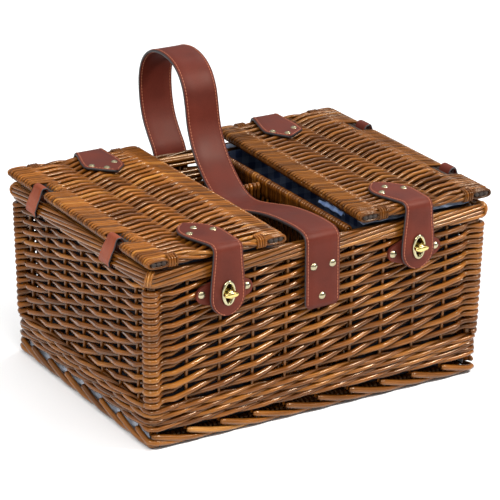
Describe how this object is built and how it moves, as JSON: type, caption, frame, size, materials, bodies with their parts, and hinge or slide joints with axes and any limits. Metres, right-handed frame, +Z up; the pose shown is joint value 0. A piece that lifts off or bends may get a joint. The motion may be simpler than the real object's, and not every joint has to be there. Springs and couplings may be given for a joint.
{
  "type": "wicker picnic basket",
  "caption": "Rectangular wicker picnic basket with hinged woven lids, leather turn-lock straps, a leather strap handle and a cotton lining.",
  "frame": {"origin": "centre of the base, on the ground plane", "axes": "+X to the right along the long front side, +Y to the back, +Z up"},
  "size_m": [0.4084, 0.3493, 0.3091],
  "materials": {
    "wicker_wall": "varnished willow weave",
    "wicker_rim": "varnished willow rods",
    "wicker_lid": "varnished willow weave",
    "leather": "smooth waxed, stitched edges",
    "brass": "polished",
    "lining": "blue and white woven cotton"
  },
  "bodies": {
    "root": {"base_panel": "wicker_wall", "foot_border": "wicker_rim", "waling_band": "wicker_rim", "wall_front": "wicker_wall", "wall_back": "wicker_wall", "wall_left": "wicker_wall", "wall_right": "wicker_wall", "corner_post_front_left": "wicker_wall", "corner_post_front_right": "wicker_wall", "corner_post_back_left": "wicker_wall", "corner_post_back_right": "wicker_wall", "rim_front": "wicker_rim", "rim_back": "wicker_rim", "rim_left": "wicker_rim", "rim_right": "wicker_rim", "partition_left": "wicker_wall", "partition_right": "wicker_wall", "bottle_divider": "wicker_wall", "lining_left": "lining", "lining_right": "lining", "handle_strap": "leather", "handle_rivets": "brass", "hinge_loop_left_front": "leather", "hinge_loop_left_back": "leather", "hinge_loop_right_front": "leather", "hinge_loop_right_back": "leather", "patch_left_front": "leather", "patch_left_back": "leather", "patch_right_front": "leather", "patch_right_back": "leather", "patch_rivets": "brass", "clasp_plates": "brass"},
    "knob_left_front": {"knob_left_front": "brass"},
    "knob_left_back": {"knob_left_back": "brass"},
    "knob_right_front": {"knob_right_front": "brass"},
    "knob_right_back": {"knob_right_back": "brass"},
    "lid_left": {"lid_left_panel": "wicker_lid", "lid_left_outer_rail": "wicker_lid", "lid_left_inner_rail": "wicker_lid", "lid_left_bindings": "wicker_lid", "strap_left_front": "leather", "strap_left_back": "leather", "strap_left_rivets": "brass"},
    "lid_right": {"lid_right_panel": "wicker_lid", "lid_right_outer_rail": "wicker_lid", "lid_right_inner_rail": "wicker_lid", "lid_right_bindings": "wicker_lid", "strap_right_front": "leather", "strap_right_back": "leather", "strap_right_rivets": "brass"},
    "flap_left_front": {"flap_left_front": "leather", "eyelet_left_front": "brass"},
    "flap_left_back": {"flap_left_back": "leather", "eyelet_left_back": "brass"},
    "flap_right_front": {"flap_right_front": "leather", "eyelet_right_front": "brass"},
    "flap_right_back": {"flap_right_back": "leather", "eyelet_right_back": "brass"}
  },
  "joints": [
    {"name": "lid_left_hinge", "type": "hinge", "parent": "root", "child": "lid_left", "pos_m": [-0.195, 0, 0.199], "axis": [0, -1, 0], "range_deg": [0, 180]},
    {"name": "lid_right_hinge", "type": "hinge", "parent": "root", "child": "lid_right", "pos_m": [0.195, 0, 0.2024], "axis": [0, 1, 0], "range_deg": [0, 180]},
    {"name": "flap_left_front_fold", "type": "hinge", "parent": "lid_left", "child": "flap_left_front", "pos_m": [-0.114, -0.1555, 0.206], "axis": [-1, 0, 0], "range_deg": [0, 120]},
    {"name": "flap_left_back_fold", "type": "hinge", "parent": "lid_left", "child": "flap_left_back", "pos_m": [-0.104, 0.1555, 0.206], "axis": [1, 0, 0], "range_deg": [0, 120]},
    {"name": "flap_right_front_fold", "type": "hinge", "parent": "lid_right", "child": "flap_right_front", "pos_m": [0.108, -0.1555, 0.2094], "axis": [-1, 0, 0], "range_deg": [0, 120]},
    {"name": "flap_right_back_fold", "type": "hinge", "parent": "lid_right", "child": "flap_right_back", "pos_m": [0.113, 0.1555, 0.2094], "axis": [1, 0, 0], "range_deg": [0, 120]},
    {"name": "knob_left_front_turn", "type": "hinge", "parent": "root", "child": "knob_left_front", "pos_m": [-0.114, -0.1623, 0.157], "axis": [0, -1, 0], "range_deg": [0, 90]},
    {"name": "knob_left_back_turn", "type": "hinge", "parent": "root", "child": "knob_left_back", "pos_m": [-0.104, 0.1623, 0.157], "axis": [0, 1, 0], "range_deg": [0, 90]},
    {"name": "knob_right_front_turn", "type": "hinge", "parent": "root", "child": "knob_right_front", "pos_m": [0.108, -0.1623, 0.1624], "axis": [0, -1, 0], "range_deg": [0, 90]},
    {"name": "knob_right_back_turn", "type": "hinge", "parent": "root", "child": "knob_right_back", "pos_m": [0.113, 0.1623, 0.1624], "axis": [0, 1, 0], "range_deg": [0, 90]}
  ]
}
